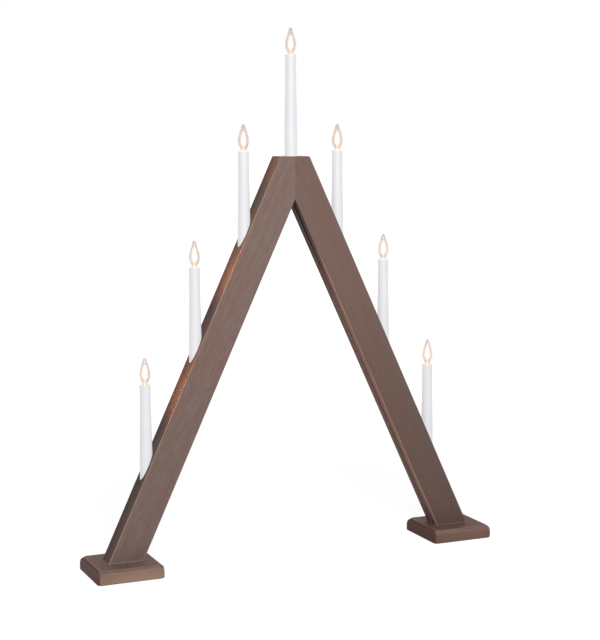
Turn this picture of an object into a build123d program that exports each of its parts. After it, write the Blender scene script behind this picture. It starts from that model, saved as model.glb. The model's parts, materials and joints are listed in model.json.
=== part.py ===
from build123d import *
import os
from math import atan2, cos, hypot, sin, tan

# A wooden candle arch. Two leaning legs are mitred together at the top and stand on square feet,
# and seven electric candles stand in sockets bored straight down into the leaning legs.
# Lengths are millimetres. X runs across the arch, Y from front to back and Z up from the floor.
# The origin is on the floor, midway between the two feet.

os.makedirs("parts", exist_ok=True)

# Overall sizes
overall_height = 800.0  # floor to the tip of the top bulb
overall_width = 650.0  # outside to outside of the feet

# Feet
foot_length = 101.5
foot_depth = 100.0
foot_height = 20.0
foot_bevel_inset = 5.4
foot_bevel_drop = 3.6
foot_corner_radius = 4.0

# Legs
leg_width = 48.8  # square to the slope, seen from the front
leg_thickness = 32.0
leg_edge_radius = 1.0
leg_toe_margin = 26.0  # from the foot's outer side in to the leg's outer face
apex_flat_width = 47.6  # the flat that is cut across the top of the mitre
apex_corner_radius = 2.0  # where that flat meets the outer face

# Wire groove along the underside of each leg
groove_width = 9.0
groove_depth = 10.0
wire_hole_diameter = 7.0

# Candle places along a leg, measured on its outer face
candles_per_leg = 3
top_candle_setback = 124.4  # from the apex flat down to the highest candle on the leg
foot_candle_setback = 153.5  # from the leg's toe up to the lowest candle
top_socket_depth = 21.5
side_socket_depth = 50.6  # below the slope, on the candle's own axis

# Screw cap of a small lamp, and the lamp holder round it
cap_diameter = 9.5
cap_length = 10.5
cap_wall = 0.4
cap_end_diameter = 5.2
cap_shoulder_height = 1.6
cap_floor_height = 2.4
cap_below_rim = 1.0  # top of the cap to the rim of the sleeve
tip_diameter = 4.4
tip_height = 1.2
shell_wall = 0.4
contact_diameter = 5.0
contact_thickness = 0.6
rivet_diameter = 2.0
holder_wall = 1.3
holder_web = 3.0
holder_skirt_length = 6.0
holder_skirt_wall = 2.0
holder_below_rim = 2.0

# Candle sleeve
sleeve_length = 172.0
sleeve_wall = 1.4
sleeve_spread = 1.4  # how much the radius grows over the taper
sleeve_neck_length = 42.0  # straight, below the rim
sleeve_foot_length = 60.0  # straight, above the sleeve's foot

# Bulb glass, with heights taken from the rim of the sleeve
bulb_rise = 39.5
bulb_diameter = 16.5
bulb_widest_height = 14.0
glass_wall = 0.5
neck_above_cap = 0.5
waist_height_share = 0.40  # of the height of the widest place
waist_radius_share = 0.75  # of the widest radius
shoulder_height_share = 0.29  # of the height from the widest place to the tip
shoulder_radius_share = 0.886
nose_height_share = 0.917
nose_radius_share = 0.339

# Filament and the two wires that hold it
support_wire_diameter = 0.5
filament_coil_diameter = 0.9
filament_spread = 5.0
filament_height = 17.0  # above the rim of the sleeve

# Wiring
harness_diameter = 4.4
harness_bend_radius = 10.0
harness_tail = 8.0  # past the drop to the lowest candle
drop_wire_diameter = 1.9
drop_wire_spacing = 2.6
clip_length = 8.0
clip_bridge = 1.1

# Fasteners
dowel_diameter = 6.0
dowel_length = 30.0
dowel_chamfer = 0.8
screw_diameter = 4.0
screw_head_diameter = 8.0
screw_length = 45.0
screw_point_length = 5.0
screw_spacing = 17.0
screw_head_recess = 0.5
screw_slot_length = 4.4  # the cross that the driver fits
screw_slot_width = 1.1
screw_slot_depth = 1.6

# Clearances between pieces that fit together
socket_clearance = 0.1
holder_clearance = 0.1
shell_clearance = 0.05
thread_clearance = 0.1
cement_gap = 0.15
tip_gap = 0.05
contact_gap = 0.1
rivet_clearance = 0.05
groove_clearance = 0.2
clip_clearance = 0.1
dowel_clearance = 0.05
screw_clearance = 0.1
cut_overrun = 20.0

# The slope of the legs follows from the apex, the feet and the overall sizes
rim_height_top = overall_height - bulb_rise
apex_height = rim_height_top - sleeve_length + top_socket_depth
foot_centre = (overall_width - foot_length) / 2
toe_x = overall_width / 2 - leg_toe_margin
outer_face_rise = apex_height - foot_height
outer_face_run = toe_x - apex_flat_width / 2
outer_face_length = hypot(outer_face_rise, outer_face_run)
lean = atan2(outer_face_run, outer_face_rise)  # from upright, in radians
leg_run = leg_width / cos(lean)
heel_x = toe_x - leg_run
inner_apex_height = foot_height + heel_x / tan(lean)

# The lamp parts follow from the screw cap outwards
shell_bore_radius = cap_diameter / 2 + thread_clearance
shell_radius = shell_bore_radius + shell_wall
pocket_radius = shell_radius + shell_clearance
holder_radius = pocket_radius + holder_wall
sleeve_bore_radius = holder_radius + holder_clearance
sleeve_rim_radius = sleeve_bore_radius + sleeve_wall
sleeve_base_radius = sleeve_rim_radius + sleeve_spread
socket_radius = sleeve_base_radius + socket_clearance

# Heights below the rim of the sleeve, down the stack of lamp parts
cap_foot = -cap_below_rim - cap_length
cap_floor = cap_foot + cap_floor_height
tip_top = cap_foot - tip_gap
tip_foot = tip_top - tip_height
contact_top = tip_foot - contact_gap
web_top = contact_top - contact_thickness
web_foot = web_top - holder_web
holder_foot = web_foot - holder_skirt_length
neck_radius = cap_diameter / 2 - cap_wall - cement_gap
neck_top = neck_above_cap - cap_below_rim

# The harness lies near the floor of the groove
harness_radius = harness_diameter / 2
harness_depth = groove_depth - groove_clearance - harness_radius  # in from the leg's inner face

# The screws stand upright in the middle of the leg's sloping foot
screw_foot = screw_head_recess
screw_top = screw_foot + screw_length
screw_grip = screw_top - foot_height
screw_x = toe_x - leg_run / 2 - tan(lean) * screw_grip / 2


def outer_face_height(x):
    """Height of the right leg's outer face above x."""
    return foot_height + (toe_x - x) / tan(lean)


def inner_face_height(x):
    """Height of the right leg's inner face above x."""
    return foot_height + (heel_x - x) / tan(lean)


def harness_height(x):
    """Height of the harness's centre line above x, on either leg."""
    return inner_face_height(abs(x)) + harness_depth / sin(lean)


def candle_axis(x):
    """The upright axis of the candle at x."""
    return Axis((x, 0, 0), (0, 0, 1))


def upright_plane(x, z, y=0):
    """A plane that faces the front, with its origin at height z on the upright line through x and y."""
    return Plane(origin=(x, y, z), x_dir=(1, 0, 0), z_dir=(0, -1, 0))


def save(piece, name):
    """Labels a finished piece and writes its file."""
    piece.part.label = name
    export_step(piece.part, f"parts/{name}.step")


# Places of the candles, from the lowest on the left over the apex to the lowest on the right
candle_pitch = (outer_face_length - top_candle_setback - foot_candle_setback) / (candles_per_leg - 1)
side_candle_xs = [
    apex_flat_width / 2 + (top_candle_setback + index * candle_pitch) * sin(lean)
    for index in range(candles_per_leg)
]
rim_above_slope = sleeve_length - side_socket_depth
side_places = [(x, outer_face_height(x) + rim_above_slope) for x in side_candle_xs]
candle_places = (
    [(-x, rim) for x, rim in reversed(side_places)]
    + [(0, rim_height_top)]
    + side_places
)
screw_places = [
    (side * screw_x, front * screw_spacing / 2) for side in (-1, 1) for front in (-1, 1)
]

# Right foot, a square block with a bevelled top and two countersunk holes from below
with BuildPart() as right_foot:
    with BuildSketch():
        with Locations((foot_centre, 0)):
            Rectangle(foot_length, foot_depth)
    extrude(amount=foot_height)
    foot_top = right_foot.faces().sort_by(Axis.Z)[-1]
    chamfer(foot_top.edges(), foot_bevel_inset, foot_bevel_drop, reference=foot_top)
    fillet(right_foot.edges().filter_by(Axis.Z), foot_corner_radius)
    for x, y in screw_places[2:]:
        with Locations(Plane(origin=(x, y, 0), z_dir=(0, 0, -1))):
            CounterSinkHole(
                radius=screw_diameter / 2 + screw_clearance,
                counter_sink_radius=screw_head_diameter / 2 + screw_head_recess + screw_clearance,
                counter_sink_angle=90,
            )
save(right_foot, "right_foot")

# Left foot
with BuildPart() as left_foot:
    mirror(right_foot.part, about=Plane.YZ)
save(left_foot, "left_foot")

# Right leg, a leaning bar mitred on the centre plane, with its sockets, groove and holes
with BuildPart() as right_leg:
    with BuildSketch(Plane.XZ) as right_leg_side:
        with BuildLine():
            Polyline(
                (heel_x, foot_height),
                (toe_x, foot_height),
                (apex_flat_width / 2, apex_height),
                (0, apex_height),
                (0, inner_apex_height),
                close=True,
            )
        make_face()
        apex_corner = right_leg_side.vertices().group_by(Axis.Y)[-1].sort_by(Axis.X)[-1]
        fillet(apex_corner, apex_corner_radius)
    extrude(amount=leg_thickness / 2, both=True)
    long_edges = right_leg.faces().filter_by(Axis.Y).edges().filter_by(Axis.Z, reverse=True)
    fillet(
        [edge for group in long_edges.group_by(Axis.Z)[1:] for edge in group],
        leg_edge_radius,
    )
    # The sockets are stepped holes, wide for the sleeve and narrow below it for the wires
    for x, rim in candle_places[candles_per_leg:]:
        mouth = min(outer_face_height(x - socket_radius), apex_height)
        with Locations((x, 0, mouth)):
            CounterBoreHole(
                radius=wire_hole_diameter / 2,
                counter_bore_radius=socket_radius,
                counter_bore_depth=mouth - rim + sleeve_length,
            )
    # The groove starts below the foot of the leg and runs out through the mitre
    groove_start = (
        heel_x + cut_overrun * (sin(lean) - cos(lean)),
        0,
        foot_height - cut_overrun * (cos(lean) + sin(lean)),
    )
    with BuildSketch(
        Plane(
            origin=groove_start,
            x_dir=(-sin(lean), 0, cos(lean)),
            z_dir=(cos(lean), 0, sin(lean)),
        )
    ):
        Rectangle(
            outer_face_length + cut_overrun,
            groove_width,
            align=(Align.MIN, Align.CENTER),
        )
    extrude(amount=cut_overrun + groove_depth, mode=Mode.SUBTRACT)
    # Blind holes for the two dowels, square to the mitre
    dowel_y = (leg_thickness + groove_width) / 4
    dowel_z = (inner_apex_height + rim_height_top - sleeve_length) / 2
    with BuildSketch(Plane.YZ):
        with Locations((-dowel_y, dowel_z), (dowel_y, dowel_z)):
            Circle(dowel_diameter / 2 + dowel_clearance)
    extrude(amount=dowel_length / 2 + dowel_clearance, mode=Mode.SUBTRACT)
    # Pilot holes for the screws that come up through the foot
    with BuildSketch(Plane.XY.offset(foot_height)):
        with Locations(*screw_places[2:]):
            Circle(screw_diameter / 2 + screw_clearance)
    extrude(amount=screw_grip + screw_clearance, mode=Mode.SUBTRACT)
save(right_leg, "right_leg")

# Left leg
with BuildPart() as left_leg:
    mirror(right_leg.part, about=Plane.YZ)
save(left_leg, "left_leg")

# Two dowels across the mitre
with BuildPart() as mitre_dowels:
    with BuildSketch(Plane.YZ):
        with Locations((-dowel_y, dowel_z), (dowel_y, dowel_z)):
            Circle(dowel_diameter / 2)
    extrude(amount=dowel_length / 2, both=True)
    chamfer(mitre_dowels.edges().filter_by(GeomType.CIRCLE), dowel_chamfer)
save(mitre_dowels, "mitre_dowels")

# Countersunk screws with crossed slots, two up through each foot into its leg
with BuildPart() as foot_screws:
    for x, y in screw_places:
        with BuildSketch(upright_plane(x, screw_foot, y)):
            with BuildLine():
                Polyline(
                    (0, 0),
                    (screw_head_diameter / 2, 0),
                    (screw_diameter / 2, (screw_head_diameter - screw_diameter) / 2),
                    (screw_diameter / 2, screw_length - screw_point_length),
                    (0, screw_length),
                    close=True,
                )
            make_face()
        revolve(axis=Axis((x, y, 0), (0, 0, 1)))
    with BuildSketch(Plane.XY.offset(screw_foot)):
        with Locations(*screw_places):
            Rectangle(screw_slot_length, screw_slot_width)
            Rectangle(screw_slot_width, screw_slot_length)
    extrude(amount=screw_slot_depth, mode=Mode.SUBTRACT)
save(foot_screws, "foot_screws")


def make_sleeve(x, rim, name):
    """A tapered plastic tube that stands on the floor of its socket."""
    with BuildPart() as candle_sleeve:
        with BuildSketch(upright_plane(x, rim)):
            with BuildLine():
                Polyline(
                    (sleeve_bore_radius, 0),
                    (sleeve_rim_radius, 0),
                    (sleeve_rim_radius, -sleeve_neck_length),
                    (sleeve_base_radius, sleeve_foot_length - sleeve_length),
                    (sleeve_base_radius, -sleeve_length),
                    (sleeve_bore_radius, -sleeve_length),
                    close=True,
                )
            make_face()
        revolve(axis=candle_axis(x))
    save(candle_sleeve, name)


def make_holder(x, rim, name):
    """The moulded body of the lamp holder: a pocket for the shell, a web and an open skirt."""
    with BuildPart() as lamp_holder:
        with BuildSketch(upright_plane(x, rim)):
            with BuildLine():
                Polyline(
                    (pocket_radius, -holder_below_rim),
                    (holder_radius, -holder_below_rim),
                    (holder_radius, holder_foot),
                    (holder_radius - holder_skirt_wall, holder_foot),
                    (holder_radius - holder_skirt_wall, web_foot),
                    (rivet_diameter / 2 + rivet_clearance, web_foot),
                    (rivet_diameter / 2 + rivet_clearance, web_top),
                    (pocket_radius, web_top),
                    close=True,
                )
            make_face()
        revolve(axis=candle_axis(x))
    save(lamp_holder, name)


def make_shell(x, rim, name):
    """The thin metal shell that the lamp screws into."""
    with BuildPart() as holder_shell:
        with BuildSketch(Plane.XY.offset(rim + web_top)):
            with Locations((x, 0)):
                Circle(shell_radius)
                Circle(shell_bore_radius, mode=Mode.SUBTRACT)
        extrude(amount=-holder_below_rim - web_top)
    save(holder_shell, name)


def make_cap(x, rim, name):
    """The lamp's screw cap, a thin cup with a sloping shoulder at its foot."""
    with BuildPart() as bulb_cap:
        with BuildSketch(upright_plane(x, rim)):
            with BuildLine():
                Polyline(
                    (0, cap_foot),
                    (cap_end_diameter / 2, cap_foot),
                    (cap_diameter / 2, cap_foot + cap_shoulder_height),
                    (cap_diameter / 2, -cap_below_rim),
                    (cap_diameter / 2 - cap_wall, -cap_below_rim),
                    (cap_diameter / 2 - cap_wall, cap_floor),
                    (0, cap_floor),
                    close=True,
                )
            make_face()
        revolve(axis=candle_axis(x))
    save(bulb_cap, name)


def make_tip(x, rim, name):
    """The domed contact under the cap."""
    tip_radius = tip_diameter / 2
    with BuildPart() as bulb_contact:
        with BuildSketch(upright_plane(x, rim)):
            with BuildLine():
                Line((0, tip_foot), (0, tip_top))
                Line((0, tip_top), (tip_radius, tip_top))
                TangentArc((0, tip_foot), (tip_radius, tip_top), tangent=(1, 0))
            make_face()
        revolve(axis=candle_axis(x))
    save(bulb_contact, name)


def make_glass(x, rim, name):
    """The flame-shaped glass envelope, hollow and open at the foot of its neck."""
    upper_height = bulb_rise - bulb_widest_height
    widest_radius = bulb_diameter / 2
    with BuildPart() as bulb_glass:
        for inset, mode in ((0, Mode.ADD), (glass_wall, Mode.SUBTRACT)):
            neck = neck_radius - inset
            widest = (widest_radius - inset, bulb_widest_height)
            waist = (
                waist_radius_share * widest_radius - inset,
                waist_height_share * bulb_widest_height,
            )
            shoulder = (
                shoulder_radius_share * widest_radius - inset,
                bulb_widest_height + shoulder_height_share * upper_height,
            )
            nose = (
                nose_radius_share * widest_radius - inset,
                bulb_widest_height + nose_height_share * upper_height,
            )
            tip = (0, bulb_rise - inset)
            with BuildSketch(upright_plane(x, rim)):
                with BuildLine():
                    belly = TangentArc(widest, waist, tangent=(0, -1))
                    TangentArc(waist, (neck, neck_top), tangent=belly % 1)
                    Polyline((neck, neck_top), (neck, cap_floor), (0, cap_floor), tip)
                    TangentArc(widest, shoulder, tangent=(0, 1))
                    Line(shoulder, nose)
                    TangentArc(tip, nose, tangent=(1, 0))
                make_face()
            revolve(axis=candle_axis(x), mode=mode)
    save(bulb_glass, name)


def make_filament(x, rim, name):
    """Two support wires that stand in the cap, with the coil of the filament across their tops."""
    with BuildPart() as bulb_filament:
        with BuildSketch(Plane.XY.offset(rim + cap_floor)):
            with Locations((x - filament_spread / 2, 0), (x + filament_spread / 2, 0)):
                Circle(support_wire_diameter / 2)
        extrude(amount=filament_height - cap_floor)
        with BuildSketch(Plane.YZ.offset(x)):
            with Locations((0, rim + filament_height)):
                Circle(filament_coil_diameter / 2)
        extrude(amount=(filament_spread + support_wire_diameter) / 2, both=True)
    save(bulb_filament, name)


for number, (candle_x, rim_height) in enumerate(candle_places, start=1):
    make_sleeve(candle_x, rim_height, f"candle_sleeve_{number}")
    make_holder(candle_x, rim_height, f"lamp_holder_{number}")
    make_shell(candle_x, rim_height, f"holder_shell_{number}")
    make_cap(candle_x, rim_height, f"bulb_cap_{number}")
    make_tip(candle_x, rim_height, f"bulb_contact_{number}")
    make_glass(candle_x, rim_height, f"bulb_glass_{number}")
    make_filament(candle_x, rim_height, f"bulb_filament_{number}")

# The riveted contact on the web of each lamp holder
with BuildPart() as holder_contacts:
    for x, rim in candle_places:
        with BuildSketch(Plane.XY.offset(rim + web_top)):
            with Locations((x, 0)):
                Circle(contact_diameter / 2)
        extrude(amount=contact_thickness)
        with BuildSketch(Plane.XY.offset(rim + web_foot)):
            with Locations((x, 0)):
                Circle(rivet_diameter / 2)
        extrude(amount=holder_web)
save(holder_contacts, "holder_contacts")

# The wiring follows the grooves from the lowest candle over the apex to the lowest on the other leg,
# with a pair of wires up to every lamp holder
harness_end_x = side_candle_xs[-1] + harness_tail * sin(lean)
apex_bend_height = harness_height(0) - harness_bend_radius * (1 / sin(lean) - 1)
with BuildPart() as wiring_harness:
    with BuildLine(Plane.XZ) as harness_path:
        FilletPolyline(
            (-harness_end_x, harness_height(harness_end_x)),
            (0, harness_height(0)),
            (harness_end_x, harness_height(harness_end_x)),
            radius=harness_bend_radius,
        )
    with BuildSketch(Plane(origin=harness_path.line @ 0, z_dir=harness_path.line % 0)):
        Circle(harness_radius)
    sweep(path=harness_path.line)
    for x, rim in candle_places:
        drop_foot = min(harness_height(x), apex_bend_height)
        with BuildSketch(Plane.XY.offset(drop_foot)):
            with Locations((x, -drop_wire_spacing / 2), (x, drop_wire_spacing / 2)):
                Circle(drop_wire_diameter / 2)
        extrude(amount=rim + web_foot - drop_foot)
save(wiring_harness, "wiring_harness")

# Clips that bridge the groove over the harness, one between each two neighbouring candles
clip_stations = [0] + side_candle_xs
slot_depth = harness_depth - harness_radius - clip_clearance
with BuildPart() as cable_clips:
    for side in (-1, 1):
        for upper, lower in zip(clip_stations, clip_stations[1:]):
            middle = (upper + lower) / 2
            with BuildSketch(
                Plane(
                    origin=(side * middle, 0, inner_face_height(middle)),
                    x_dir=(0, -side, 0),
                    z_dir=(-side * sin(lean), 0, cos(lean)),
                )
            ):
                with Locations((0, groove_depth)):
                    Rectangle(
                        groove_width,
                        groove_depth - slot_depth + clip_bridge,
                        align=(Align.CENTER, Align.MAX),
                    )
                    Rectangle(
                        harness_diameter + 2 * clip_clearance,
                        groove_depth - slot_depth,
                        align=(Align.CENTER, Align.MAX),
                        mode=Mode.SUBTRACT,
                    )
            extrude(amount=clip_length / 2, both=True)
save(cable_clips, "cable_clips")
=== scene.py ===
"""Looks of the candle arch: stained wood, white candles and lit flame bulbs, on a pale floor.

Everything is in metres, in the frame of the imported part. X runs across the arch, Y from front to back
and Z up from the floor, with the origin on the floor between the feet.
"""

import json
from math import atan2, ceil, cos, pi, radians, sin

import bpy
from mathutils import Matrix, Vector

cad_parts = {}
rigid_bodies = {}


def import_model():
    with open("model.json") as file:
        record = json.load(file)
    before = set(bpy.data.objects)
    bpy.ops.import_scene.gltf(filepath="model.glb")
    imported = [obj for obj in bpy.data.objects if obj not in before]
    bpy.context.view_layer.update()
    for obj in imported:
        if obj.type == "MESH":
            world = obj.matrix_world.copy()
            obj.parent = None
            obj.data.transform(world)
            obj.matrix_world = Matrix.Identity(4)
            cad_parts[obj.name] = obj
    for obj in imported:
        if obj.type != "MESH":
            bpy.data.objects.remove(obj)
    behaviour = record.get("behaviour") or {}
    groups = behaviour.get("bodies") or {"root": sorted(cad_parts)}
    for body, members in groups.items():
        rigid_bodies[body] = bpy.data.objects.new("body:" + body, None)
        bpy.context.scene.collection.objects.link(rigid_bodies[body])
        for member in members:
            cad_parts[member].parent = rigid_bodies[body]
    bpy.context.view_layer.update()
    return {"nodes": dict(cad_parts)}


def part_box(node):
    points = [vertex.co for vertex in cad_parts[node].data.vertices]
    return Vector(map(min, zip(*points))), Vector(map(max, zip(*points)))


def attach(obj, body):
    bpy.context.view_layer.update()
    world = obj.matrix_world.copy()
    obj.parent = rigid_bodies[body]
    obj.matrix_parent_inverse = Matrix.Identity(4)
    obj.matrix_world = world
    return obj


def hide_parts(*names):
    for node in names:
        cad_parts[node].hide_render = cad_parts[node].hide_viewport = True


for leftover in list(bpy.data.objects):
    bpy.data.objects.remove(leftover)

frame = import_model()
nodes = frame["nodes"]
candle_numbers = range(1, 8)

mm = 0.001
white = (1.0, 1.0, 1.0, 1.0)


# Sizes that the frame gives
def span(node):
    """Lowest and highest corner of a node."""
    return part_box(node)


leg_low, leg_high = span("right_leg")
leg_depth = leg_high.y - leg_low.y
toe_x = leg_high.x
apex_height = leg_high.z
foot_height = span("right_foot")[1].z
rims = {}
for number in candle_numbers:
    sleeve_low, sleeve_high = span(f"candle_sleeve_{number}")
    rims[number] = Vector(((sleeve_low.x + sleeve_high.x) / 2, 0, sleeve_high.z))

# Sizes that the frame's boxes don't show
apex_flat_width = 47.6 * mm
leg_width = 48.8 * mm
foot_bevel_inset = 5.4 * mm
foot_bevel_drop = 3.6 * mm
lean = atan2(toe_x - apex_flat_width / 2, apex_height - foot_height)

# The photograph's camera
picture_height = 640  # pixels
focal_length = 1562.97  # pixels
film_size = 36  # millimetres, along the picture's longer side
camera_place = Vector((-0.9335, -2.1595, 0.6653))
camera_yaw = 0.4135  # radians, as are the pitch and the roll
camera_pitch = 0.128
camera_roll = -0.0027


class Field:
    """What a node gives: a number, place, colour or shader that varies over a surface. Sums and products
    of numbers add nodes to the graph."""

    def __init__(self, graph, socket):
        self.graph = graph
        self.socket = socket

    def math(self, operation, other=0.0):
        return self.graph.field("Math", {0: self, 1: other}, operation=operation)

    def __add__(self, other):
        return self.math("ADD", other)

    def __sub__(self, other):
        return self.math("SUBTRACT", other)

    def __rsub__(self, other):
        return self.graph.field("Math", {0: other, 1: self}, operation="SUBTRACT")

    def __mul__(self, other):
        return self.math("MULTIPLY", other)

    def __abs__(self):
        return self.math("ABSOLUTE")

    def least(self, other):
        return self.math("MINIMUM", other)

    def most(self, other):
        return self.math("MAXIMUM", other)

    def power(self, other):
        return self.math("POWER", other)

    def sine(self):
        return self.math("SINE")

    def swing(self, amount):
        """A noise, which lies round 0.5, as a change that lies round 0."""
        return (self - 0.5) * amount

    def rise(self, start, end, low=0.0, high=1.0):
        """Climbs smoothly from low to high as the field goes from start to end."""
        inputs = {"Value": self, "From Min": start, "From Max": end, "To Min": low, "To Max": high}
        return self.graph.field("MapRange", inputs, "Result", interpolation_type="SMOOTHSTEP")

    def mixed(self, low, high):
        """A colour from low, where the field is 0, to high, where it is 1."""
        first_colour, second_colour, mixed_colour = 6, 7, 2
        inputs = {"Factor": self, first_colour: low, second_colour: high}
        return self.graph.field("Mix", inputs, mixed_colour, data_type="RGBA")

    def mixed_shader(self, low, high):
        """A shader from low, where the field is 0, to high, where it is 1."""
        return self.graph.field("MixShader", {0: self, 1: low, 2: high})


class Graph:
    """The nodes of a material or a world."""

    def __init__(self, owner, output="OutputMaterial"):
        owner.use_nodes = True
        self.owner = owner
        self.tree = owner.node_tree
        self.tree.nodes.clear()
        self.output = self.node(output)

    def node(self, kind, inputs=None, **settings):
        """A new node. Each input is joined to a field, or set to a plain value."""
        node = self.tree.nodes.new("ShaderNode" + kind)
        for name, value in settings.items():
            setattr(node, name, value)
        for key, value in (inputs or {}).items():
            if isinstance(value, Field):
                self.tree.links.new(value.socket, node.inputs[key])
            else:
                node.inputs[key].default_value = value
        return node

    def field(self, kind, inputs=None, output=0, **settings):
        """One output of a new node."""
        return Field(self, self.node(kind, inputs, **settings).outputs[output])

    def place(self):
        """The object's own coordinates, in metres."""
        return self.field("TexCoord", output="Object")

    def turned_place(self, rotation):
        """The object's own coordinates, turned about its origin."""
        inputs = {"Vector": self.place(), "Rotation": rotation}
        return self.field("Mapping", inputs, vector_type="POINT")

    def parts(self, vector):
        node = self.node("SeparateXYZ", {0: vector})
        return [Field(self, output) for output in node.outputs]

    def place_parts(self):
        return self.parts(self.place())

    def normal_parts(self):
        return self.parts(self.field("NewGeometry", output="Normal"))

    def outline(self):
        """0 where the surface faces the viewer and 1 at its outline."""
        return self.field("LayerWeight", {"Blend": 0.5}, "Facing")

    def noise(self, vector, scale, detail=2.0, roughness=0.5, distortion=0.0):
        inputs = {
            "Vector": vector,
            "Scale": scale,
            "Detail": detail,
            "Roughness": roughness,
            "Distortion": distortion,
        }
        return self.field("TexNoise", inputs, "Fac")

    def product(self, first, second):
        """A place or colour multiplied by another, part by part."""
        return self.field("VectorMath", {0: first, 1: second}, operation="MULTIPLY")

    def shaded(self, colour, value):
        """A colour with its brightness multiplied by a field or a number."""
        colour = colour[:3] if isinstance(colour, tuple) else colour
        return self.field("VectorMath", {0: colour, "Scale": value}, operation="SCALE")

    def bump(self, height, distance, strength=1.0):
        inputs = {"Height": height, "Distance": distance, "Strength": strength}
        return self.field("Bump", inputs, "Normal")

    def principled(self, **inputs):
        """The principled shader. base_color stands for its input Base Color, and so on."""
        named = {
            key.replace("_", " ").title().replace("Ior", "IOR"): value for key, value in inputs.items()
        }
        return self.field("BsdfPrincipled", named)

    def finish(self, surface):
        self.tree.links.new(surface.socket, self.output.inputs["Surface"])
        return self.owner


def material_graph(name):
    return Graph(bpy.data.materials.new(name))


def rgb(red, green, blue):
    """A colour of the screen, 0 to 255, as the linear colour that nodes take."""
    linear = []
    for part in (red, green, blue):
        share = part / 255
        linear.append(share / 12.92 if share <= 0.04045 else ((share + 0.055) / 1.055) ** 2.4)
    return (*linear, 1.0)


# Wood

# How many times longer the grain and its flecks are than they are wide
grain_stretch = 38
fleck_stretch = 6

# Scales of the noises across the grain, as waves in a metre: the rings' wander, the stain's bands, streaks
# and flecks, the ragged edges of the wear, the end grain's specks and pores, and single fibres
wander_scale = 30
band_scale = 52
streak_scale = 250
fleck_scale = 300
foot_edge_scale = 300
leg_edge_scale = 320
speck_scale = 380
pore_scale = 620
fibre_scale = 1500

# Growth rings. Their centre, the pith, lies outside the board.
ring_spacing = 3.4 * mm
ring_wander = 14 * mm
pith_depth = 60 * mm

# What each noise adds to the brightness and to the relief
streak_contrast = 0.18
fibre_contrast = 0.34
fleck_contrast = 0.2
ring_contrast = 0.02
worn_contrast = 0.5
pore_contrast = 0.5
streak_relief = 0.7
fibre_relief = 0.6
ring_relief = 0.08
relief_depth = 0.05 * mm

# What the noises turn into, as rise takes them: from and to, and the value at each
red_patches = (0.42, 0.58)
dark_streaks = (0.52, 0.8, 0.0, 0.7)
worn_streaks = (0.3, 0.6, 0.55, 1.0)
pore_specks = (0.36, 0.62)

wood_roughness = 0.62
wood_sheen = 0.12

# Painted shade: colours that the stain is multiplied by on faces turned away from the front, redder and
# darker as they look in shade
painted_side_tint = (1.0, 0.87, 0.83)
painted_high_inner_tint = (1.0, 0.78, 0.7)
painted_foot_side_tint = (1.0, 0.8, 0.75)
painted_foot_top_tint = (1.0, 0.93, 0.91)
painted_foot_top_shade = 0.85

# What the boards differ by. The stain runs between grey and red, with dark streaks, and rubbed is the
# colour of a worn edge. Each wear is how much of an edge is rubbed, 0 to 1: on a leg's outer and inner
# side, low on the inner side, where the leg meets the foot, and round its cut ends. A foot's front shows
# end grain with pores, whose brightness goes from end_low at the floor to end_high, and grows along X
# from end_from to end_to. The painted shades multiply the stain: a leg's painted shade low down, a foot's
# painted shade on its sides and on the bevel above them, and its painted light on the front bevel.
# seed moves the noises, and pith is where the rings' centre lies on the X axis that is turned with the
# grain.
boards = {
    "left_leg": {
        "grey": rgb(143, 125, 118),
        "red": rgb(138, 112, 103),
        "dark": rgb(120, 96, 87),
        "rubbed": rgb(184, 149, 128),
        "outer_wear": 0.9,
        "inner_wear": 0.15,
        "low_inner_wear": 0.15,
        "foot_wear": 0.8,
        "butt_wear": 0.85,
        "low_painted_shade": 0.89,
        "seed": 0.0,
        "pith": -9 * mm,
    },
    "right_leg": {
        "grey": rgb(133, 112, 105),
        "red": rgb(134, 107, 97),
        "dark": rgb(110, 86, 77),
        "rubbed": rgb(202, 163, 139),
        "outer_wear": 0.15,
        "inner_wear": 0.1,
        "low_inner_wear": 1.0,
        "foot_wear": 0.25,
        "butt_wear": 0.5,
        "low_painted_shade": 0.75,
        "seed": 0.37,
        "pith": 14 * mm,
    },
    "left_foot": {
        "grey": rgb(136, 117, 110),
        "red": rgb(128, 105, 98),
        "dark": rgb(108, 88, 81),
        "rubbed": rgb(172, 142, 124),
        "end": rgb(168, 135, 113),
        "pores": rgb(150, 126, 115),
        "end_from": -0.325,
        "end_to": -0.27,
        "end_low": 1.12,
        "end_high": 0.88,
        "side_painted_shade": 0.74,
        "bevel_painted_shade": 0.43,
        "front_bevel_painted_light": 1.0,
        "seed": 0.71,
        "pith": -0.31,
    },
    "right_foot": {
        "grey": rgb(128, 107, 100),
        "red": rgb(122, 97, 90),
        "dark": rgb(100, 79, 73),
        "rubbed": rgb(166, 130, 112),
        "end": rgb(142, 110, 96),
        "pores": rgb(122, 99, 91),
        "end_from": 0.21,
        "end_to": 0.3,
        "end_low": 0.98,
        "end_high": 1.12,
        "side_painted_shade": 0.66,
        "bevel_painted_shade": 0.4,
        "front_bevel_painted_light": 1.27,
        "seed": 0.13,
        "pith": 0.26,
    },
}


def end_grain(local, board):
    """The colour of a board's cut end, speckled with pores."""
    graph = local.graph
    across, _, _ = graph.parts(local)
    _, _, height = graph.place_parts()
    speck = graph.noise(local, speck_scale, detail=3, roughness=0.7)
    pores = graph.noise(local, pore_scale, detail=2, roughness=0.6)
    colour = speck.rise(*pore_specks).mixed(board["pores"], board["end"])
    lit = across.rise(board["end_from"], board["end_to"], 0.88, 1.06)
    lit = lit * height.rise(0, foot_height, board["end_low"], board["end_high"])
    return graph.shaded(colour, (pores.swing(pore_contrast) + 1) * lit)


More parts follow.
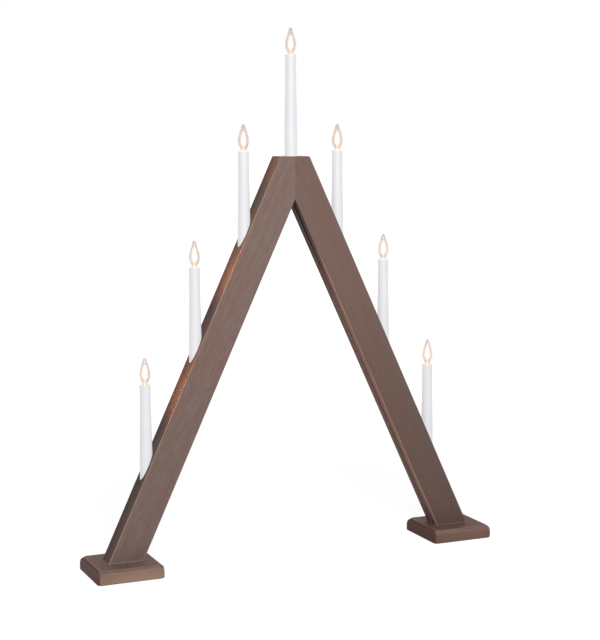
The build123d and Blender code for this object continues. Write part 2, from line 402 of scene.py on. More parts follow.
def grain_and_wear(local, board, wear, painted_shading, pale=None):
    """Stained, lightly brushed wood. local is the place with the grain along its Z, and board is one of
    the boards above. wear is where the stain is rubbed off, 0 to 1, then comes the painted light and
    shade, a colour that the stain is multiplied by, and pale is where end grain shows, 0 to 1."""
    graph = local.graph
    offset = graph.field("VectorMath", {0: local, 1: (board["seed"], 0, 0)}, operation="ADD")
    along = graph.product(offset, (1, 1, 1 / grain_stretch))
    short = graph.product(offset, (1, 1, 1 / fleck_stretch))
    band = graph.noise(along, band_scale, detail=2.5, distortion=0.4)
    streak = graph.noise(along, streak_scale, detail=3.5, roughness=0.6)
    fibre = graph.noise(along, fibre_scale, detail=3, roughness=0.65)
    wander = graph.noise(along, wander_scale, detail=1)
    fleck = graph.noise(short, fleck_scale, detail=3, roughness=0.6)
    across, deep, _ = graph.parts(local)
    from_pith = ((across - board["pith"]).power(2) + (deep + pith_depth).power(2)).power(0.5)
    rings = ((from_pith + wander * ring_wander) * (2 * pi / ring_spacing)).sine()

    colour = (band * 0.4 + fleck * 0.6).rise(*red_patches).mixed(board["grey"], board["red"])
    colour = streak.rise(*dark_streaks).mixed(colour, board["dark"])
    shade = streak.swing(streak_contrast) + fibre.swing(fibre_contrast)
    shade = shade + fleck.swing(fleck_contrast) + rings * ring_contrast + 1
    # Painted light and shade multiply the stained colour
    colour = graph.product(graph.shaded(colour, shade), painted_shading)
    if pale is not None:
        colour = pale.mixed(colour, end_grain(local, board))
    rubbed = wear * streak.rise(*worn_streaks)
    colour = rubbed.mixed(colour, graph.shaded(board["rubbed"], fibre.swing(worn_contrast) + 1))

    relief = fibre * fibre_relief + streak * streak_relief + rings * ring_relief
    return graph.finish(
        graph.principled(
            base_color=colour,
            roughness=fibre.swing(0.25) + wood_roughness,
            specular_ior_level=wood_sheen,
            normal=graph.bump(relief, relief_depth, 0.5),
        )
    )


# How a leg's wear changes, as rise takes it: from and to, in metres of height or across the leg, and the
# value at each. Values that are missing are 0 and 1, or the board has them.
low_wear_heights = (0.48, 0.44)
wear_below_middle = (0.32, 0.42, 0.72, 1.0)
wear_at_top = (0.6, 0.55, 0.3, 1.0)
wear_at_back = (4 * mm, -4 * mm, 0.3, 1.0)
inner_to_outer = (-2 * mm, 2 * mm)
foot_wear_heights = (70 * mm, 30 * mm)
worn_edge_width = (120 * mm, 40 * mm, 1.3 * mm, 2.2 * mm)
worn_edge_core = 0.5 * mm
worn_end_band = (1.5 * mm, 0.5 * mm)
butt_wear_heights = (0.3, 0.1, 0.15)
leg_end_margin = 0.2 * mm
leg_raggedness = 0.9 * mm

# Painted light and shade on a leg, in the same way: the whole leg darker towards the bottom; the outer
# face darker than the front, least near the apex and the foot, and darker towards the back as a painted
# shadow of the candles; the inner face dark under the apex and light lower down, darker near the foot and
# towards the back; and the front darker just above the foot. side_facing is how far a face is turned to
# the side where the front's painted shade ends and the side's is full.
painted_shade_downwards = (0.5, 0.02, 1.0)
outer_face = (0.6, 0.46, 0.60, 0.45)
outer_face_low = (0.16, 0.08, 1.0, 1.16)
outer_face_at_foot = (0.05, 0.025, 1.0, 1.2)
outer_face_candle_shadow = (12 * mm, -12 * mm, 0.76, 1.28)
inner_face = (0.585, 0.29, 0.17, 2.86)
inner_face_low = (0.3, 0.2, 1.0, 1.14)
inner_face_at_foot = (90 * mm, 30 * mm, 1.0, 0.5)
inner_face_to_back = (-1 * mm, 4 * mm, 1.0, 0.62)
high_inner_heights = (0.42, 0.5)
front_at_foot = (0.055, 0.025)
front_at_foot_tint = (0.84, 0.84, 0.84, 1)
side_facing = (0.45, 0.75)

# Where the wire groove's mask goes from empty to full: from the groove's middle, and from the leg's inner
# face at its mouth and its floor. groove_shadow is what the groove adds to the brightness, by height: a
# painted shadow high up and painted light low down.
groove_sides = (4.9 * mm, 4.6 * mm)
groove_mouth = (0.1 * mm, 1.5 * mm)
groove_floor = (11 * mm, 10.4 * mm)
groove_shadow = (0.35, 0.5, 1.0, -0.7)


def leg_wear(board, outward, deep):
    """Where a leg's stain is rubbed off: along its long edges and round its cut ends."""
    graph = deep.graph
    _, _, height = graph.place_parts()
    from_side = leg_width / 2 - abs(outward)
    from_front = leg_depth / 2 - abs(deep)
    from_end = (height - foot_height).least(apex_height - height) + leg_end_margin
    ragged = graph.noise(graph.product(graph.place(), (1, 1, 0.25)), leg_edge_scale, detail=3)
    ragged = ragged.swing(leg_raggedness)
    inner = height.rise(*low_wear_heights, board["inner_wear"], board["low_inner_wear"])
    inner = inner * height.rise(*wear_below_middle)
    amount = outward.rise(*inner_to_outer, inner, board["outer_wear"])
    amount = amount * deep.rise(*wear_at_back) * height.rise(*wear_at_top)
    amount = amount.most(height.rise(*foot_wear_heights, 0.0, board["foot_wear"]))
    width = height.rise(*worn_edge_width)
    edges = (from_side.most(from_front) + ragged).rise(width, worn_edge_core) * amount
    ends = (from_end + ragged).rise(*worn_end_band)
    ends = ends * height.rise(*butt_wear_heights, board["butt_wear"])
    return edges.most(ends)


def leg_painted_shading(board, side, deep, groove):
    """The painted light and shade that a leg's stain is multiplied by, from its front round to its outer
    and inner face.
    """
    graph = deep.graph
    _, _, height = graph.place_parts()
    facing, _, _ = graph.normal_parts()
    facing = facing * side
    # Painted shade on the outer face, darker towards the back as a painted shadow of the candles
    outside = height.rise(*outer_face) * height.rise(*outer_face_low)
    outside = graph.shaded(painted_side_tint, outside * deep.rise(*outer_face_candle_shadow))
    outside = graph.shaded(outside, height.rise(*outer_face_at_foot))
    # Painted shade and light on the inner face: dark under the apex, light lower down
    inside = height.rise(*inner_face) * height.rise(*inner_face_low)
    inside = inside * height.rise(*inner_face_at_foot) * deep.rise(*inner_face_to_back)
    painted_inner_tint = height.rise(*high_inner_heights).mixed((*painted_side_tint, 1), (*painted_high_inner_tint, 1))
    inside = graph.shaded(painted_inner_tint, inside)
    # Painted shade on the front just above the foot
    front = height.rise(*front_at_foot).mixed(white, front_at_foot_tint)
    start, end = side_facing
    painted_shading = facing.rise(start, end).mixed(front, outside)
    painted_shading = facing.rise(-start, -end).mixed(painted_shading, inside)
    # Painted shadow in the groove high up, painted light in it low down, and painted shade towards the
    # bottom
    shadow = groove * height.rise(*groove_shadow) + 1
    return graph.shaded(painted_shading, height.rise(*painted_shade_downwards, board["low_painted_shade"]) * shadow)


def leg_wood(name, side):
    """Wood with the grain along a leg, rubbed pale along its edges, with painted light and shade. side is
    -1 on the left.
    """
    graph = material_graph(name)
    board = boards[name]
    local = graph.turned_place((0, side * lean, 0))
    across, deep, _ = graph.parts(local)
    outer = toe_x * cos(lean) + foot_height * sin(lean)
    middle = side * (outer - leg_width / 2)
    outward = (across - middle) * side
    from_inner = outward + leg_width / 2
    groove = abs(deep).rise(*groove_sides) * from_inner.rise(*groove_mouth)
    groove = groove * from_inner.rise(*groove_floor)
    wear = leg_wear(board, outward, deep) * groove.rise(1.0, 0.0)
    return grain_and_wear(local, board, wear, leg_painted_shading(board, side, deep, groove))


# Wear by the distance from the two edges of a foot's bevel, and from its front to its sides
upper_bevel_wear = (1.0 * mm, 0.3 * mm)
lower_bevel_wear = (0.9 * mm, 0.2 * mm, 0.0, 0.4)
front_to_side_wear = (-1 * mm, 1 * mm, 0.3, 0.95)
foot_raggedness = 1.1 * mm

# How far a foot's faces are turned up or sideways, 0 to 1, where one look goes over into the next: the
# painted shade of its front, sides, bevels and top, and its end grain
front_to_front_bevel = (0.3, 0.6)
side_to_side_bevel = (0.55, 0.8)
bevel_to_top = (0.85, 0.95)
front_to_left = (0.35, 0.6)
front_to_right = (0.9, 1.0)
above_right_side = (0.5, 0.8)
side_to_end_grain = (0.6, 0.9)


def foot_wear(graph, low, high):
    """Where a foot's stain is rubbed off: along both edges of its bevel, and most above its sides."""
    x, y, z = graph.place_parts()
    from_side = (high.x - low.x) / 2 - abs(x - (low.x + high.x) / 2)
    from_front = (high.y - low.y) / 2 - abs(y)
    inward = from_side.least(from_front)
    beside = (from_front - from_side).rise(*front_to_side_wear)
    upper = (inward - foot_bevel_inset).power(2) + (z - foot_height).power(2)
    lower = inward.power(2) + (z - (foot_height - foot_bevel_drop)).power(2)
    ragged = graph.noise(graph.place(), foot_edge_scale, detail=3).swing(foot_raggedness)
    upper = (upper.power(0.5) + ragged).rise(*upper_bevel_wear) * beside
    lower = (lower.power(0.5) + ragged).rise(*lower_bevel_wear)
    return upper.most(lower)


def foot_painted_shading(graph, board):
    """The painted light and shade that a foot's stain is multiplied by: on its front and back, its sides
    and its top.
    """
    _, _, z = graph.place_parts()
    sideways, _, upward = graph.normal_parts()
    side = upward.rise(*side_to_side_bevel, board["side_painted_shade"], board["bevel_painted_shade"])
    # Painted light from above: the sides lighter towards their top edge
    side = side * z.rise(0, foot_height, 0.95, 1.15)
    front = graph.shaded(white, upward.rise(*front_to_front_bevel, 1.0, board["front_bevel_painted_light"]))
    at_side = (sideways * -1).rise(*front_to_left).most(sideways.rise(*front_to_right))
    at_side = at_side.most(sideways.rise(*front_to_left) * upward.rise(*above_right_side))
    painted_shading = at_side.mixed(front, graph.shaded(painted_foot_side_tint, side))
    # The top is painted darker
    return upward.rise(*bevel_to_top).mixed(painted_shading, graph.shaded(painted_foot_top_tint, painted_foot_top_shade))


def foot_wood(name):
    """Wood with the grain from front to back, so that the front and the back show end grain."""
    graph = material_graph(name)
    board = boards[name]
    local = graph.turned_place((pi / 2, 0, 0))
    sideways, forward, _ = graph.normal_parts()
    pale = (abs(forward) + sideways * 0.5).rise(*side_to_end_grain)
    return grain_and_wear(local, board, foot_wear(graph, *span(name)), foot_painted_shading(graph, board), pale)


def dowel_wood():
    graph = material_graph("dowel_wood")
    along = graph.product(graph.place(), (0.05, 1, 1))
    grain = graph.noise(along, 900, detail=3)
    colour = grain.rise(0.3, 0.7).mixed(rgb(214, 182, 138), rgb(192, 156, 112))
    normal = graph.bump(grain, 0.05 * mm)
    return graph.finish(graph.principled(base_color=colour, roughness=0.6, normal=normal))


# Plastics, metals and glass
fine_relief = 0.01 * mm


def moulded_plastic(name, colour, shade, roughness):
    """Moulded plastic with a faint unevenness in its colour and its gloss."""
    graph = material_graph(name)
    cloud = graph.noise(graph.place(), 60, detail=2)
    fine = graph.noise(graph.place(), 900, detail=2)
    return graph.finish(
        graph.principled(
            base_color=cloud.rise(0.35, 0.65).mixed(colour, shade),
            roughness=cloud.swing(0.12) + roughness,
            specular_ior_level=0.5,
            normal=graph.bump(fine, fine_relief, 0.4),
        )
    )


def candle_plastic():
    """White sleeve plastic with a painted glow of its own, and painted warm light from the bulb just under
    the rim. The sleeve's origin is at its rim.
    """
    graph = material_graph("candle_white")
    _, _, height = graph.place_parts()
    cloud = graph.noise(graph.product(graph.place(), (1, 1, 0.3)), 70, detail=2)
    fine = graph.noise(graph.place(), 1100, detail=2)
    base = cloud.rise(0.35, 0.65).mixed(rgb(178, 178, 182), rgb(174, 173, 178))
    # Painted warm light of the bulb just under the rim
    warm = height.rise(-2.2 * mm, -0.4 * mm, 0.0, 0.85)
    return graph.finish(
        graph.principled(
            base_color=warm.mixed(base, rgb(222, 196, 174)),
            roughness=cloud.swing(0.1) + 0.4,
            specular_ior_level=0.35,
            normal=graph.bump(fine, fine_relief, 0.35),
            # Painted light: an even glow of the sleeve's own, which brightens its shaded sides
            emission_color=(0.97, 0.975, 1.0, 1),
            emission_strength=0.48,
        )
    )


def sheet_metal(name, bright, dull, roughness):
    """Drawn or plated metal with faint stains."""
    graph = material_graph(name)
    stain = graph.noise(graph.place(), 260, detail=4, roughness=0.6)
    fine = graph.noise(graph.place(), 2200, detail=2)
    return graph.finish(
        graph.principled(
            base_color=stain.rise(0.4, 0.7).mixed(bright, dull),
            metallic=1.0,
            roughness=stain * 0.2 + roughness,
            normal=graph.bump(fine, fine_relief, 0.3),
        )
    )


def clear_glass():
    """Thin clear glass, grey at its outline, with the sheen of the lights."""
    graph = material_graph("lamp_glass")
    edge = graph.outline()
    tint = edge.rise(0.6, 1.0).mixed(white, rgb(206, 200, 202))
    through = graph.field("BsdfTransparent", {"Color": tint})
    sheen = graph.field("BsdfGlossy", {"Color": white, "Roughness": 0.06})
    return graph.finish(edge.rise(0.0, 1.0, 0.01, 0.22).mixed_shader(through, sheen))


# Where the glow changes, in heights above the sleeve's rim
belly_starts = (3.5 * mm, 8 * mm)
belly_ends = (30 * mm, 23 * mm)
tip_starts = (24 * mm, 31 * mm)
tip_pales = (33 * mm, 38 * mm)
neck_glows = (7 * mm, 3 * mm, 0.0, 0.9)


def bulb_glow():
    """The light round the filament: white in its heart, peach towards its outline and at the neck, and
    pale grey at the tip. The glow's origin is at the sleeve's rim."""
    graph = material_graph("bulb_glow")
    _, _, height = graph.place_parts()
    ripple = graph.noise(graph.place(), 210, detail=1)
    edge = graph.outline() + ripple.swing(0.1)
    heart = edge.rise(0.15, 0.04) * (height.rise(*belly_starts) * height.rise(*belly_ends))
    peach = edge.rise(0.15, 0.5).mixed(rgb(250, 238, 226), rgb(243, 228, 217))
    tip = edge.rise(0.05, 0.16).mixed(rgb(244, 231, 226), rgb(232, 227, 230))
    colour = height.rise(*tip_starts).mixed(peach, tip)
    colour = height.rise(*tip_pales).mixed(colour, rgb(226, 222, 228))
    haze = graph.field("BsdfTransparent", {"Color": colour})
    light = graph.field("Emission", {"Color": (1.0, 0.98, 0.94, 1), "Strength": 1.2})
    tan = edge.rise(0.12, 0.42).mixed(rgb(250, 234, 218), rgb(226, 202, 186))
    warm = graph.field("Emission", {"Color": tan, "Strength": 1.0})
    lit = heart.mixed_shader(haze, light)
    return graph.finish(height.rise(*neck_glows).mixed_shader(lit, warm))


def glowing_wire():
    """The filament's wire. Only the coil glows, and the wires that hold it stay dull."""
    graph = material_graph("filament")
    _, _, height = graph.place_parts()
    heat = graph.noise(graph.place(), 900, detail=1)
    return graph.finish(
        graph.principled(
            base_color=rgb(180, 170, 160),
            roughness=0.4,
            emission_color=heat.rise(0.3, 0.7).mixed((1.0, 0.72, 0.38, 1), (1.0, 0.86, 0.6, 1)),
            emission_strength=height.rise(coil_height - 2 * mm, coil_height - 1 * mm, 0.0, 3.0),
        )
    )


# Mesh helpers
metal_segments = 48  # round a screw cap, a shell or a hole
turned_crease = 35  # degrees, above which an edge is sharp
thread_crease = 50
foot_crease = 30


def arc(centre, radius, start, end, steps):
    """Points of an arc in the profile's plane. Angles are in degrees, from the radial direction up."""
    points = []
    for step in range(steps + 1):
        angle = radians(start + (end - start) * step / steps)
        points.append((centre[0] + radius * cos(angle), centre[1] + radius * sin(angle)))
    return points


def ring(radius, height, segments=metal_segments):
    """A level ring of points round the Z axis."""
    angles = [2 * pi * segment / segments for segment in range(segments)]
    return [(radius * cos(angle), radius * sin(angle), height) for angle in angles]


def skin(name, rings, crease, ends="joined"):
    """A mesh through rings of points. Its last ring is joined to its first, or both are open or flat."""
    segments = len(rings[0])
    vertices = [point for points in rings for point in points]
    faces = []
    for row in range(len(rings) if ends == "joined" else len(rings) - 1):
        upper = (row + 1) % len(rings)
        for segment in range(segments):
            beside = (segment + 1) % segments
            faces.append(
                (
                    row * segments + segment,
                    row * segments + beside,
                    upper * segments + beside,
                    upper * segments + segment,
                )
            )
    if ends == "flat":
        faces.append(tuple(reversed(range(segments))))
        faces.append(tuple(range(len(vertices) - segments, len(vertices))))
    mesh = bpy.data.meshes.new(name)
    mesh.from_pydata(vertices, [], faces)
    mesh.validate()
    mesh.shade_smooth()
    mesh.set_sharp_from_angle(angle=radians(crease))
    return mesh


def turned_mesh(name, profile, segments, ends="joined"):
    """A mesh turned on a lathe from a profile of (radius, height) points."""
    rings = [ring(radius, height, segments) for radius, height in profile]
    return skin(name, rings, turned_crease, ends)


def add_piece(name, mesh, material, place, body, replaced=()):
    """Puts a mesh in the scene as a piece that rides on a body."""
    piece = bpy.data.objects.new(name, mesh)
    if not mesh.materials:
        mesh.materials.append(material)
    bpy.context.scene.collection.objects.link(piece)
    piece.location = place
    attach(piece, body)
    if replaced:
        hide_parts(*replaced)
    return piece


def add_to_candle(number, name, mesh, material, node=None, on_bulb=False):
    """Puts a piece at a candle's rim, in place of the candle's own node of that name. It moves with the
    candle's bulb, or else stays with the arch."""
    body = f"bulb_{number}" if on_bulb else "root"
    replaced = [f"{node}_{number}"] if node else []
    return add_piece(f"{name}_{number}", mesh, material, rims[number], body, replaced)


# Candle sleeves
sleeve_segments = 72
sleeve_rim_radius = 8.1 * mm
sleeve_bore = 6.7 * mm
sleeve_foot_length = 60 * mm
sleeve_neck_length = 42 * mm
rim_rounding = 0.9 * mm
bore_rounding = 0.4 * mm


def sleeve_profile():
    """The sleeve's section from its foot up the outside, over the rounded rim and down the bore. Its foot
    and its neck are straight, and it tapers between them."""
    low, high = span("candle_sleeve_4")
    length = high.z - low.z
    base = (high.x - low.x) / 2
    outside = [
        (base, -length),
        (base, sleeve_foot_length - length),
        (sleeve_rim_radius, -sleeve_neck_length),
        (sleeve_rim_radius, -rim_rounding),
    ]
    rim_centre = (sleeve_rim_radius - rim_rounding, -rim_rounding)
    rim_round = arc(rim_centre, rim_rounding, 0, 90, steps=5)[1:]
    bore_centre = (sleeve_bore + bore_rounding, -bore_rounding)
    bore_round = arc(bore_centre, bore_rounding, 90, 180, steps=3)
    return outside + rim_round + bore_round + [(sleeve_bore, -length)]


def make_sleeves():
    mesh = turned_mesh("candle_sleeve_mesh", sleeve_profile(), sleeve_segments)
    material = candle_plastic()
    for number in candle_numbers:
        add_to_candle(number, "tapered_sleeve", mesh, material, "candle_sleeve")


# Screw caps and shells
thread_pitch = 25.4 / 14 * mm
thread_depth = 0.45 * mm
thread_gap = 0.08 * mm
thread_radius = 4.75 * mm
rows_per_turn = 12


def thread_wave(share):
    """Depth of the rolled thread, 0 on its crest and 1 in its root."""
    return 0.5 + 0.5 * cos(2 * pi * share)


def threaded_wall(radius, low, high, fade_low, fade_high):
    """Rings of a wall with a rolled right-hand thread, which fades out at its two ends."""
    rows = ceil((high - low) / (thread_pitch / rows_per_turn))
    rings = []
    for row in range(rows + 1):
        height = low + (high - low) * row / rows
        fade = min(1, max(0, (height - low) / fade_low), max(0, (high - height) / fade_high))
        points = []
        for segment in range(metal_segments):
            angle = 2 * pi * segment / metal_segments
            turn = height / thread_pitch - segment / metal_segments
            local = radius - thread_depth * thread_wave(turn) * fade
            points.append((local * cos(angle), local * sin(angle), height))
        rings.append(points)
    return rings


def below_rim(node):
    """A lamp part's foot and top, measured from its candle's rim, and its radius."""
    low, high = span(f"{node}_4")
    rim = rims[4].z
    return low.z - rim, high.z - rim, (high.x - low.x) / 2


def cap_mesh():
    """The lamp's screw cap: a cup with a sloping end, a rolled thread and a lip that holds the glass."""
    foot, top, radius = below_rim("bulb_cap")
    end_radius = 2.6 * mm
    shoulder = 1.6 * mm
    shoulder_gap = 0.1 * mm
    thread_run_in = 1.2 * mm
    lip_height = 0.9 * mm
    lip_foot = 0.8 * mm
    lip_rounding = 0.3 * mm
    mouth_rounding = 0.1 * mm
    mouth_depth = 0.5 * mm
    floor_height = 2.4 * mm
    wall = 0.4 * mm
    lip_radius = radius - 0.12 * mm
    bore = radius - wall - thread_depth
    end = [
        ring(end_radius, foot),
        ring(radius - thread_depth, foot + shoulder - shoulder_gap),
    ]
    thread = threaded_wall(radius, foot + shoulder, top - lip_height, thread_run_in, lip_height)
    lip = [
        ring(lip_radius, top - lip_foot),
        ring(lip_radius, top - lip_rounding),
        ring(radius - lip_rounding, top),
        ring(radius - wall - mouth_rounding, top),
        ring(bore, top - mouth_depth),
        ring(bore, foot + floor_height),
    ]
    return skin("bulb_cap_mesh", end + thread + lip, thread_crease, ends="flat")


def shell_mesh():
    """The holder's shell, with the same thread inside it, a little wider, and a plain outside."""
    foot, top, outer = below_rim("holder_shell")
    bore = thread_radius + thread_gap
    run_out = 1 * mm
    mouth = 0.4 * mm
    flare = 0.1 * mm
    thread = threaded_wall(bore, foot + run_out, top - mouth, run_out, run_out)
    inside = [ring(bore, foot), *thread, ring(bore + flare, top)]
    outside = [ring(outer, top), ring(outer, foot)]
    return skin("holder_shell_mesh", inside + outside, thread_crease)


def make_lamp_metal():
    brass = sheet_metal("lamp_brass", rgb(224, 198, 142), rgb(196, 164, 108), 0.26)
    cap, shell = cap_mesh(), shell_mesh()
    for number in candle_numbers:
        add_to_candle(number, "screw_cap", cap, brass, "bulb_cap", on_bulb=True)
        add_to_candle(number, "threaded_shell", shell, brass, "holder_shell")
    return brass


# Glow and filament
glow_segments = 40
glow_inset = 0.75 * mm
tip_radius = 0.02 * mm

# The glass's outline from its neck to its tip: radius and height in millimetres, and the share of the
# inset by which the glow's point is also lower, or higher at the neck
flame_outline = (
    (4.35, 0.6, -1),
    (5.05, 3.0, 0),
    (6.15, 5.6, 0),
    (7.1, 7.7, 0),
    (7.85, 10.2, 0),
    (8.25, 14.0, 0),
    (7.95, 18.0, 0),
    (7.3, 21.4, 0),
    (4.85, 30.0, 0),
    (2.8, 37.4, 0),
    (1.6, 39.0, 1),
    (0.0, 39.5, 1),
)

coil_height = 17 * mm
coil_radius = 0.33 * mm
coil_turns = 12
coil_wire_radius = 0.1 * mm
support_spread = 2.5 * mm
support_foot = -9 * mm
support_wire_radius = 0.22 * mm


def smooth_profile(points, steps):
    """A smooth curve through points, by cubic segments."""
    ends = [points[0]] + points + [points[-1]]
    curve = []
    for index in range(len(points) - 1):
        before, start, end, after = ends[index : index + 4]
        for step in range(steps):
            share = step / steps
            point = []
            for axis in (0, 1):
                slope_in = (end[axis] - before[axis]) / 2
                slope_out = (after[axis] - start[axis]) / 2
                cubic = 2 * start[axis] - 2 * end[axis] + slope_in + slope_out
                square = 3 * (end[axis] - start[axis]) - 2 * slope_in - slope_out
                point.append(cubic * share**3 + square * share**2 + slope_in * share + start[axis])
            curve.append(tuple(point))
    return curve + [points[-1]]


def make_glow():
    """The glow that fills each lit bulb."""
    points = [
        (max(tip_radius, radius * mm - glow_inset), height * mm - glow_inset * lower)
        for radius, height, lower in flame_outline
    ]
    profile = smooth_profile(points, steps=4)
    mesh = turned_mesh("bulb_glow_mesh", profile, glow_segments, ends="open")
    material = bulb_glow()
    for number in candle_numbers:
        piece = add_to_candle(number, "bulb_glow", mesh, material, on_bulb=True)
        piece.visible_shadow = False


def filament_mesh():
    """A coiled wire across two support wires, as tubes along their centre lines."""
    curve = bpy.data.curves.new("filament_curve", "CURVE")
    curve.dimensions = "3D"
    curve.bevel_resolution = 2
    curve.bevel_depth = support_wire_radius
    steps = coil_turns * 10
    coil = [
        (
            -support_spread + 2 * support_spread * step / steps,
            coil_radius * cos(2 * pi * coil_turns * step / steps),
            coil_height + coil_radius * sin(2 * pi * coil_turns * step / steps),
        )
        for step in range(steps + 1)
    ]
    supports = [
        [(side * support_spread, 0, support_foot), (side * support_spread, 0, coil_height)]
        for side in (-1, 1)
    ]
    coil_thickness = coil_wire_radius / support_wire_radius
    for points, thickness in [(coil, coil_thickness)] + [(support, 1.0) for support in supports]:
        spline = curve.splines.new("POLY")
        spline.points.add(len(points) - 1)
        for target, point in zip(spline.points, points):
            target.co = (*point, 1)
            target.radius = thickness
    shape = bpy.data.objects.new("filament_shape", curve)
    mesh = bpy.data.meshes.new_from_object(shape)
    bpy.data.objects.remove(shape)
    mesh.shade_smooth()
    mesh.materials.clear()
    return mesh


def make_filaments():
    mesh, material = filament_mesh(), glowing_wire()
    for number in candle_numbers:
        piece = add_to_candle(
            number, "coiled_filament", mesh, material, "bulb_filament", on_bulb=True
        )
        piece.visible_shadow = False


# Feet

# Rings round a foot, from the floor up: height, inset from its sides and radius of its corners, in
# millimetres. The corners are softest at the bevel's lower edge, which is rounded, and the edge on the
# floor is eased.
foot_rings = (
    (0.0, 0.7, 6.5),
    (0.3, 0.22, 6.0),
    (0.52, 0.09, 5.7),
    (1.1, 0.0, 5.3),
    (4.0, 0.0, 4.5),
    (9.0, 0.0, 4.5),
    (12.0, 0.0, 5.3),
    (14.2, 0.0, 6.9),
    (15.6, 0.0, 8.4),
    (16.08, 0.08, 8.9),
    (16.51, 0.31, 9.2),
    (16.85, 0.67, 9.3),
    (18.4, 3.0, 7.6),
    (20.0, 5.4, 5.0),
)
corner_steps = 7
screw_head_radius = 4 * mm

# A countersunk hole, which starts under the floor and ends above the foot: radius and height
hole_outline = ((5.6 * mm, -1 * mm), (2.1 * mm, 2.5 * mm), (2.1 * mm, 21 * mm))


def soft_rectangle(low, high, inset, radius, height):
    """A ring of points round a rectangle with rounded corners, inset from its sides."""
    points = []
    for quarter, (side_x, side_y) in enumerate(((1, 1), (-1, 1), (-1, -1), (1, -1))):
        centre_x = (high.x if side_x > 0 else low.x) - side_x * (inset + radius)
        centre_y = (high.y if side_y > 0 else low.y) - side_y * (inset + radius)
        for step in range(corner_steps + 1):
            angle = pi / 2 * (quarter + step / corner_steps)
            points.append((centre_x + radius * cos(angle), centre_y + radius * sin(angle), height))
    return points


def drilled(mesh, cutters):
    """A mesh with other meshes taken out of it."""
    shapes = [bpy.data.objects.new(item.name, item) for item in (mesh, *cutters)]
    for shape in shapes:
        bpy.context.scene.collection.objects.link(shape)
    for cutter in shapes[1:]:
        hole = shapes[0].modifiers.new("hole", "BOOLEAN")
        hole.operation = "DIFFERENCE"
        hole.solver = "EXACT"
        hole.object = cutter
    solid = shapes[0].evaluated_get(bpy.context.evaluated_depsgraph_get())
    result = bpy.data.meshes.new_from_object(solid)
    for shape in shapes:
        bpy.data.objects.remove(shape)
    result.set_sharp_from_angle(angle=radians(foot_crease))
    return result


def foot_mesh(name, side):
    """A foot with soft corners, and two countersunk holes from below. side is -1 on the left."""
    low, high = span(name)
    screw_high = span("foot_screws")[1]
    rings = [
        soft_rectangle(low, high, inset * mm, radius * mm, height * mm)
        for height, inset, radius in foot_rings
    ]
    block = skin(f"{name}_block", rings, foot_crease, ends="flat")
    holes = []
    for front in (-1, 1):
        rings = [ring(radius, height) for radius, height in hole_outline]
        hole = skin(f"{name}_hole", rings, thread_crease, ends="flat")
        hole_x = side * (screw_high.x - screw_head_radius)
        hole_y = front * (screw_high.y - screw_head_radius)
        hole.transform(Matrix.Translation((hole_x, hole_y, 0)))
        holes.append(hole)
    return drilled(block, holes)


def make_feet():
    feet = []
    for name, side in (("left_foot", -1), ("right_foot", 1)):
        mesh, material = foot_mesh(name, side), foot_wood(name)
        foot = add_piece(f"soft_{name}", mesh, material, (0, 0, 0), "root", [name])
        feet.append(foot)
    return feet


def dress_nodes(brass):
    """Gives every CAD node that shows its material."""
    finishes = {
        "left_leg": leg_wood("left_leg", -1),
        "right_leg": leg_wood("right_leg", 1),
        "mitre_dowels": dowel_wood(),
        "wiring_harness": moulded_plastic(
            "wire_insulation", rgb(232, 230, 222), rgb(220, 217, 208), 0.45
        ),
        "cable_clips": moulded_plastic("clip_plastic", rgb(226, 226, 222), rgb(216, 215, 210), 0.5),
        "foot_screws": sheet_metal("screw_steel", rgb(204, 202, 196), rgb(172, 170, 162), 0.3),
        "holder_contacts": brass,
    }
    holder = moulded_plastic("holder_plastic", rgb(234, 232, 224), rgb(224, 221, 212), 0.5)
    solder = sheet_metal("solder", rgb(190, 190, 192), rgb(160, 160, 162), 0.35)
    glass = clear_glass()
    for number in candle_numbers:
        finishes[f"lamp_holder_{number}"] = holder
        finishes[f"bulb_contact_{number}"] = solder
        finishes[f"bulb_glass_{number}"] = glass
        nodes[f"bulb_glass_{number}"].visible_shadow = False
    for name, material in finishes.items():
        for material_slot in nodes[name].material_slots:
            material_slot.material = material


# Floor, lights and camera
floor_reach = 30  # metres each way
floor_drop = 0.1 * mm
floor_glow = 0.85
glow_grows = (0.4, 1.8)  # metres from the middle
bulb_colour = (1.0, 0.55, 0.26)
bulb_radius = 4 * mm
flame_height = 16 * mm
bulb_power = 0.004
wood_light_power = 0.21
faint_wood_light = {3: 0.06}  # the candle whose light hardly shows on the wood


def seen_directly(graph):
    """1 for what the camera sees, also in a mirror or through glass, and 0 for the light on the object."""
    path = graph.node("LightPath")
    seen = Field(graph, path.outputs["Is Camera Ray"])
    for other in ("Is Glossy Ray", "Is Transmission Ray"):
        seen = seen.most(Field(graph, path.outputs[other]))
    return seen


def pale_stage(name, colour, near_glow):
    """White to the camera and to whatever mirrors it, but with the object's soft shadow kept. The glow
    makes up for the light that falls off away from the object."""
    graph = material_graph(name)
    x, y, _ = graph.place_parts()
    glow = (x.power(2) + y.power(2)).power(0.5).rise(*glow_grows, near_glow, 1.0)
    plain = graph.field("BsdfDiffuse", {"Color": colour})
    glowing = graph.field("Emission", {"Color": white, "Strength": glow})
    both = graph.field("AddShader", {0: plain, 1: glowing})
    above = seen_directly(graph).mixed_shader(plain, both)
    below = graph.field("NewGeometry", output="Backfacing")
    return graph.finish(below.mixed_shader(above, graph.field("BsdfTransparent")))


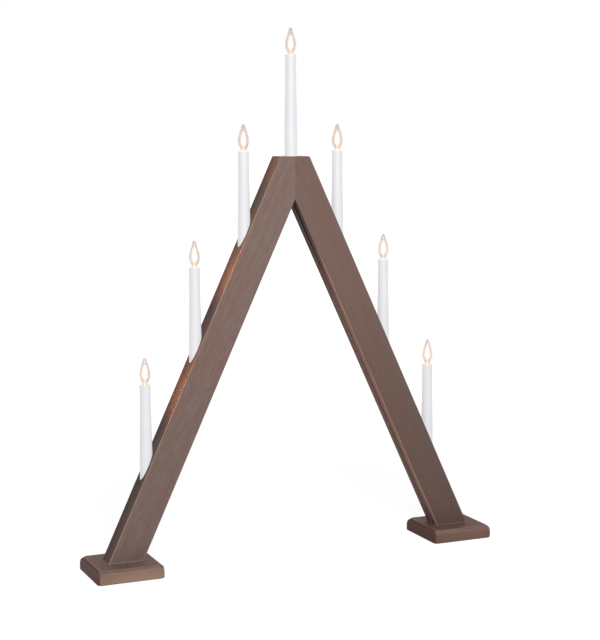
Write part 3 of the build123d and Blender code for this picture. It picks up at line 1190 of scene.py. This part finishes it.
def make_stage():
    """A floor just under the feet, which can't be seen from below."""
    corners = [(x * floor_reach, y * floor_reach, 0) for x, y in ((-1, -1), (1, -1), (1, 1), (-1, 1))]
    mesh = bpy.data.meshes.new("floor_mesh")
    mesh.from_pydata(corners, [], [(0, 1, 2, 3)])
    mesh.materials.append(pale_stage("pale_floor", rgb(170, 170, 171), floor_glow))
    floor = bpy.data.objects.new("floor", mesh)
    floor.location.z = -floor_drop
    bpy.context.scene.collection.objects.link(floor)


def make_world():
    """White behind the object, and a softer white as the room's light."""
    graph = Graph(bpy.data.worlds.new("studio"), "OutputWorld")
    room = graph.field("Background", {"Color": (0.97, 0.98, 1.0, 1), "Strength": 0.2})
    backdrop = graph.field("Background", {"Color": white, "Strength": 1.0})
    bpy.context.scene.world = graph.finish(seen_directly(graph).mixed_shader(room, backdrop))


def add_light(name, kind, place, power, colour):
    light = bpy.data.lights.new(name, kind)
    light.energy = power
    light.color = colour
    lamp = bpy.data.objects.new(name, light)
    lamp.location = place
    bpy.context.scene.collection.objects.link(lamp)
    return lamp


def soft_box(name, place, target, size, power, colour=(1, 1, 1)):
    """A square studio light that is turned to its target."""
    lamp = add_light(name, "AREA", place, power, colour)
    lamp.data.shape = "SQUARE"
    lamp.data.size = size
    lamp.rotation_euler = (Vector(target) - Vector(place)).to_track_quat("-Z", "Y").to_euler()
    return lamp


def bulb_light(name, place, power):
    """The warm light that a lit bulb throws."""
    lamp = add_light(name, "POINT", place, power, bulb_colour)
    lamp.data.shadow_soft_size = bulb_radius
    lamp.visible_camera = False
    lamp.visible_glossy = False
    return lamp


def make_lights(feet):
    """The studio's lights and the bulbs' own. The one from behind and the stronger ones in the bulbs light
    the wood only."""
    soft_box(
        "key",
        place=(-0.55, -2.0, 1.1),
        target=(-0.12, 0, 0.35),
        size=0.9,
        power=31,
        colour=(1.0, 0.99, 0.98),
    )
    soft_box("top", place=(0.1, -0.2, 2.4), target=(0, 0, 0.3), size=1.2, power=4)
    wood = bpy.data.collections.new("lit_wood")
    for board in (nodes["left_leg"], nodes["right_leg"], *feet):
        wood.objects.link(board)
    behind = soft_box("behind", place=(1.6, 1.5, 0.35), target=(0, 0, 0.35), size=0.9, power=24)
    behind.light_linking.receiver_collection = wood
    behind.visible_glossy = False
    for number, rim in rims.items():
        flame = rim + Vector((0, 0, flame_height))
        bulb_light(f"bulb_light_{number}", flame, bulb_power)
        power = faint_wood_light.get(number, wood_light_power)
        bulb_light(f"wood_light_{number}", flame, power).light_linking.receiver_collection = wood


def make_camera():
    data = bpy.data.cameras.new("photograph_camera")
    data.sensor_width = film_size
    data.lens = focal_length / picture_height * data.sensor_width
    camera = bpy.data.objects.new("photograph_camera", data)
    forward = Vector(
        (
            sin(camera_yaw) * cos(camera_pitch),
            cos(camera_yaw) * cos(camera_pitch),
            -sin(camera_pitch),
        )
    )
    right = Vector((cos(camera_yaw), -sin(camera_yaw), 0))
    up = right.cross(forward)
    turn = Matrix((right, up, -forward)).transposed()
    roll = Matrix.Rotation(camera_roll, 3, "Z")
    camera.matrix_world = Matrix.Translation(camera_place) @ (turn @ roll).to_4x4()
    bpy.context.scene.collection.objects.link(camera)
    bpy.context.scene.camera = camera


make_sleeves()
lamp_brass = make_lamp_metal()
make_glow()
make_filaments()
soft_feet = make_feet()
dress_nodes(lamp_brass)
make_stage()
make_world()
make_lights(soft_feet)
make_camera()

bpy.context.scene.view_settings.view_transform = "Standard"
